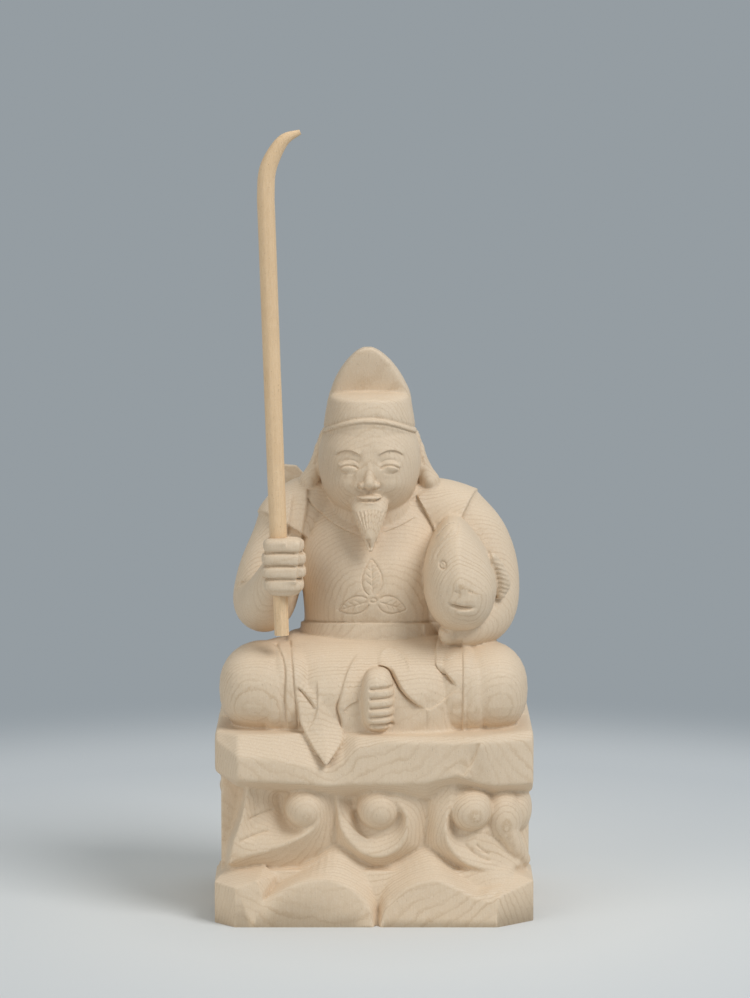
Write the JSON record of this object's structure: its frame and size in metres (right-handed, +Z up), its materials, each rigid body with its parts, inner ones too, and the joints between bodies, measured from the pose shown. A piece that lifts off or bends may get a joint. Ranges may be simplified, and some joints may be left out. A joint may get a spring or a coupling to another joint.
{
  "type": "ebisu figure",
  "caption": "Carved wooden ebisu figure seated on a rock above curling waves, with a fishing rod in one hand and a sea bream under the other arm.",
  "frame": {"origin": "centre of the underside of the wave base, on the surface that the figure stands on", "axes": "+Z up, the figure faces -Y, +X to the viewer's right"},
  "size_m": [0.085, 0.068, 0.2105],
  "materials": {
    "carving_wood": "bare pale cypress, fine cut, unvarnished",
    "rod_wood": "bare straight-grained stick, a little darker and smoother"
  },
  "bodies": {
    "root": {"ebisu_carving": "carving_wood", "fishing_rod": "rod_wood"}
  },
  "joints": []
}
